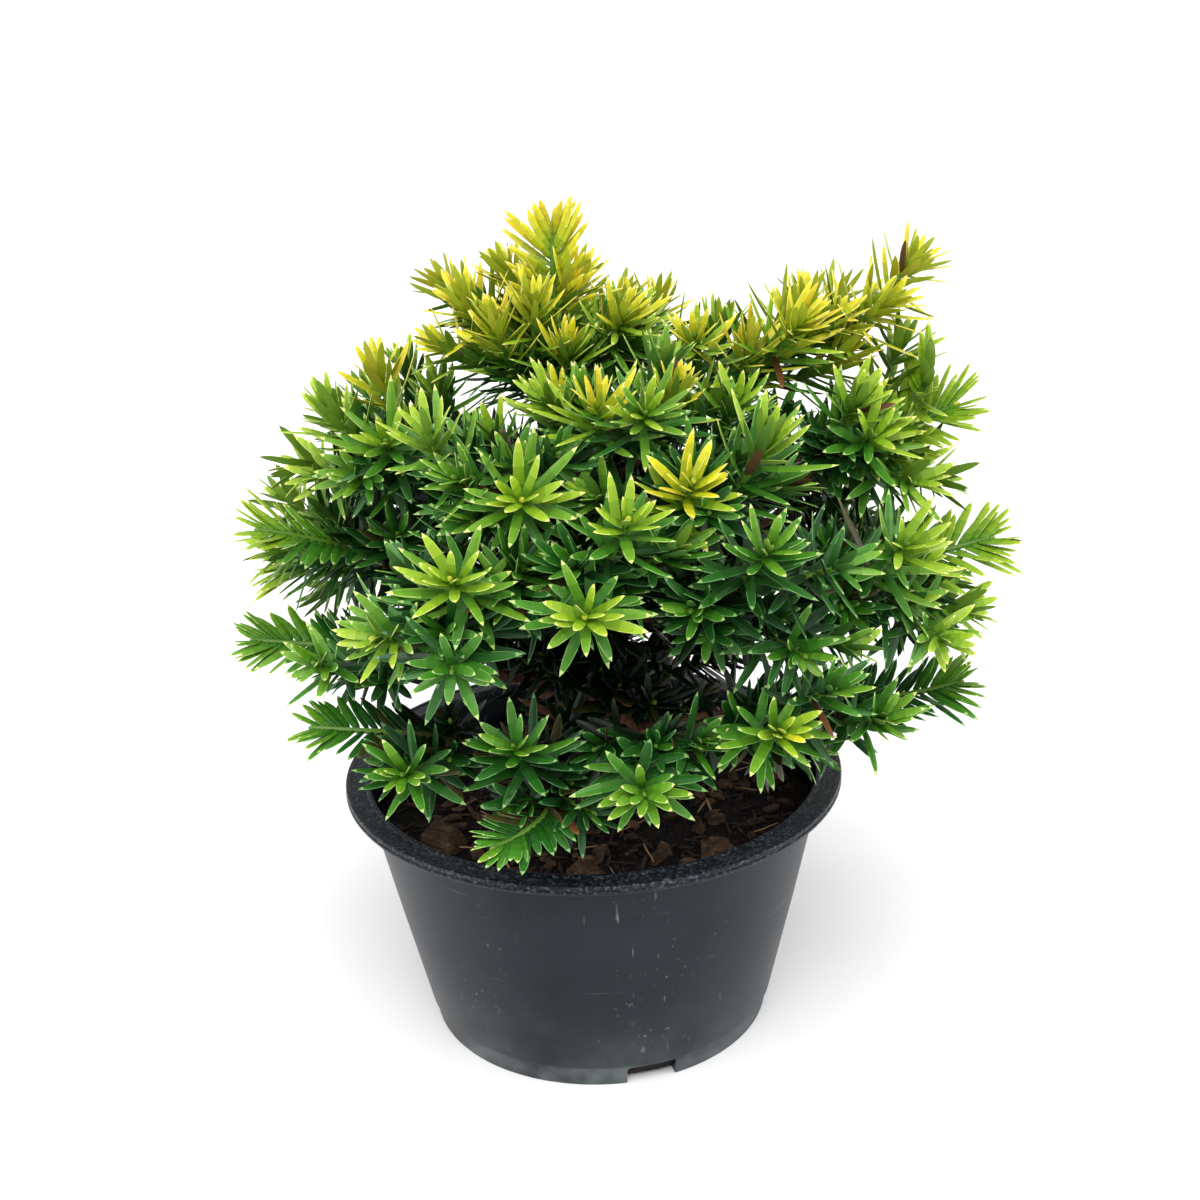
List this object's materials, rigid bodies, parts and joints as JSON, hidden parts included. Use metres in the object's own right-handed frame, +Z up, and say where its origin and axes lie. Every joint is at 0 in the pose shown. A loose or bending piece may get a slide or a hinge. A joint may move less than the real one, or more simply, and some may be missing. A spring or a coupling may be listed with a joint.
{
  "type": "potted dwarf yew",
  "caption": "Bushy dwarf yew with gold-tipped flat needles on many boughs round one short trunk, growing in a round black nursery pan of bark-topped potting mix.",
  "frame": {"origin": "centre of the pot's flat underside", "axes": "+Z up along the pot's axis; -Y faces the plant's front; +X is to the right of someone who looks at the front"},
  "size_m": [0.2616, 0.2387, 0.2793],
  "materials": {
    "pot_plastic": "satin",
    "potting_mix": "rough",
    "bark_chip": "rough",
    "bark": "rough",
    "needles_gold": "waxy",
    "needles_lime": "waxy",
    "needles_green": "waxy",
    "needles_deep": "waxy"
  },
  "bodies": {
    "root": {"pot": "pot_plastic", "potting_mix": "potting_mix", "bark_chip_1": "bark_chip", "bark_chip_2": "bark_chip", "bark_chip_3": "bark_chip", "bark_chip_4": "bark_chip", "bark_chip_5": "bark_chip", "bark_chip_6": "bark_chip", "bark_chip_7": "bark_chip", "trunk": "bark", "bough_low_front_left": "bark", "bough_lower_right": "bark", "bough_low_left": "bark", "bough_low_back_right": "bark", "bough_low_right": "bark", "bough_low_back_left": "bark", "bough_back_left": "bark", "bough_low_front_right": "bark", "bough_lower_left": "bark", "bough_back_right": "bark", "bough_right": "bark", "bough_back": "bark", "bough_left": "bark", "bough_front_right": "bark", "bough_front_left": "bark", "bough_right_back": "bark", "bough_front": "bark", "bough_upper_left": "bark", "bough_front_upper_right": "bark", "bough_upper_right": "bark", "bough_front_upper_left": "bark", "bough_upper_back": "bark", "bough_upper_front": "bark", "bough_top_right": "bark", "foliage_low_front_left": "needles_deep", "foliage_lower_right": "needles_deep", "foliage_low_left": "needles_deep", "foliage_low_back_right": "needles_deep", "foliage_low_right": "needles_deep", "foliage_low_back_left": "needles_deep", "foliage_back_left": "needles_green", "foliage_low_front_right": "needles_deep", "foliage_lower_left": "needles_deep", "foliage_back_right": "needles_green", "foliage_right": "needles_green", "foliage_back": "needles_green", "foliage_left": "needles_green", "foliage_front_right": "needles_green", "foliage_front_left": "needles_lime", "foliage_right_back": "needles_green", "foliage_front": "needles_lime", "foliage_upper_left": "needles_lime", "foliage_front_upper_right": "needles_lime", "foliage_upper_right": "needles_lime", "foliage_front_upper_left": "needles_lime", "foliage_upper_back": "needles_gold", "foliage_upper_front": "needles_gold", "foliage_top_right": "needles_gold", "foliage_top_left": "needles_gold"}
  },
  "joints": []
}
